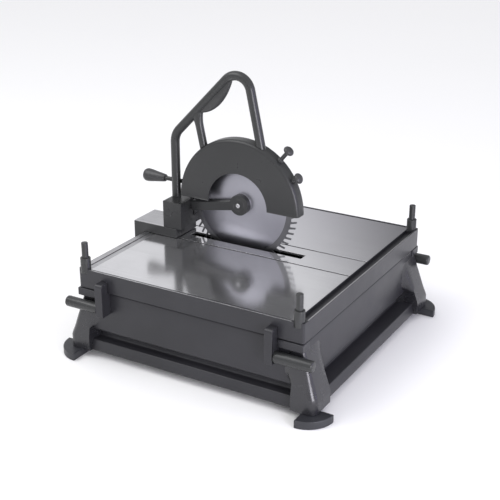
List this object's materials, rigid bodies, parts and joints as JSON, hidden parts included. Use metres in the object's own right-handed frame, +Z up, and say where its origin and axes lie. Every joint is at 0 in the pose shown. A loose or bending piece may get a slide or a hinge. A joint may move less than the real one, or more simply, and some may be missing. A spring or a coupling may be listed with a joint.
{
  "type": "masonry saw",
  "caption": "Masonry table saw: cast water tray base with a slotted steel table, and a belt-driven blade under a half guard on a tilting head with a lifting grip.",
  "frame": {"origin": "on the floor under the middle of the four feet", "axes": "+Z up; +X to the right of the operator; the operator stands at -Y and looks along +Y; the blade's axis is along Y"},
  "size_m": [0.83, 0.824, 0.7587],
  "materials": {
    "cast_grey": "dark grey coated casting, slightly glossy",
    "casing_grey": "dark grey satin coating",
    "table_steel": "ground steel, reflective",
    "edge_steel": "ground steel edge, satin",
    "blade_steel": "machined steel disc",
    "bright_steel": "turned steel",
    "dark_steel": "dark coated steel",
    "foot_rubber": "dark grey moulded rubber",
    "belt_rubber": "black rubber belt",
    "grip_plastic": "dark moulded plastic",
    "pan_steel": "folded sheet steel",
    "motor_paint": "painted motor can"
  },
  "bodies": {
    "base": {"base_casting": "cast_grey", "foot_front_left": "foot_rubber", "foot_front_right": "foot_rubber", "foot_rear_left": "foot_rubber", "foot_rear_right": "foot_rubber", "table_frame": "cast_grey", "table_plate_front": "table_steel", "table_insert": "table_steel", "table_plate_rear": "table_steel", "table_edge_strip": "edge_steel", "water_pan": "pan_steel", "corner_socket_front_left": "dark_steel", "corner_socket_front_right": "dark_steel", "corner_socket_rear_left": "dark_steel", "corner_socket_rear_right": "dark_steel", "locating_pin_front_left": "dark_steel", "locating_pin_front_right": "dark_steel", "locating_pin_rear_left": "dark_steel", "locating_pin_rear_right": "dark_steel", "carry_bar_front_left": "dark_steel", "carry_bar_front_right": "dark_steel", "carry_bar_rear_left": "dark_steel", "carry_bar_rear_right": "dark_steel", "bar_bracket_front_left": "cast_grey", "bar_bracket_front_right": "cast_grey", "bar_bracket_rear_left": "cast_grey", "bar_bracket_rear_right": "cast_grey", "motor_housing": "casing_grey", "column_block": "casing_grey", "motor_can": "motor_paint", "pivot_bracket_front": "bright_steel", "pivot_bracket_rear": "bright_steel", "belt_lower": "belt_rubber"},
    "head": {"head_block": "casing_grey", "arm": "casing_grey", "bearing_front": "bright_steel", "bearing_rear": "bright_steel", "belt_upper": "belt_rubber", "guard_front_shell": "casing_grey", "guard_rear_shell": "casing_grey", "grip_tube": "dark_steel", "grip_strut": "dark_steel", "hand_grip": "grip_plastic"},
    "spindle": {"arbor_shaft": "bright_steel", "arbor_cap": "bright_steel", "arbor_pulley": "bright_steel", "inner_flange": "bright_steel", "blade": "blade_steel", "outer_flange": "bright_steel", "arbor_nut": "bright_steel"},
    "motor_armature": {"motor_shaft": "bright_steel", "motor_rotor": "bright_steel", "motor_pulley": "bright_steel"},
    "jackshaft_assembly": {"jackshaft": "bright_steel", "jack_pulley_lower": "bright_steel", "jack_pulley_upper": "bright_steel"},
    "knob_upper": {"guard_knob_1": "grip_plastic"},
    "knob_lower": {"guard_knob_2": "grip_plastic"},
    "side_lever": {"lever_rod": "dark_steel", "lever_grip": "grip_plastic"}
  },
  "joints": [
    {"name": "head_tilt", "type": "hinge", "parent": "base", "child": "head", "pos_m": [-0.2585, 0, 0.3425], "axis": [0, -1, 0], "range_deg": [0, 25]},
    {"name": "blade_spin", "type": "hinge", "parent": "head", "child": "spindle", "pos_m": [-0.0505, 0, 0.3815], "axis": [0, 1, 0], "continuous": true},
    {"name": "jackshaft_spin", "type": "hinge", "parent": "head", "child": "jackshaft_assembly", "pos_m": [-0.2585, 0, 0.3425], "axis": [0, 1, 0], "continuous": true},
    {"name": "motor_spin", "type": "hinge", "parent": "base", "child": "motor_armature", "pos_m": [-0.244, 0, 0.306], "axis": [0, 1, 0], "continuous": true},
    {"name": "knob_upper_turn", "type": "hinge", "parent": "head", "child": "knob_upper", "pos_m": [0.07247, 0.001, 0.52804], "axis": [0.6428, 0, 0.766], "range_deg": [0, 180]},
    {"name": "knob_lower_turn", "type": "hinge", "parent": "head", "child": "knob_lower", "pos_m": [0.11433, 0.001, 0.47859], "axis": [0.8616, 0, 0.5075], "range_deg": [0, 180]},
    {"name": "lever_turn", "type": "hinge", "parent": "head", "child": "side_lever", "pos_m": [-0.2402, 0.0155, 0.4105], "axis": [1, 0, 0], "range_deg": [-90, 90]}
  ],
  "couplings": [
    {"joint": "jackshaft_spin", "follows": "blade_spin", "ratio": 1},
    {"joint": "motor_spin", "follows": "blade_spin", "ratio": 0.7959}
  ]
}
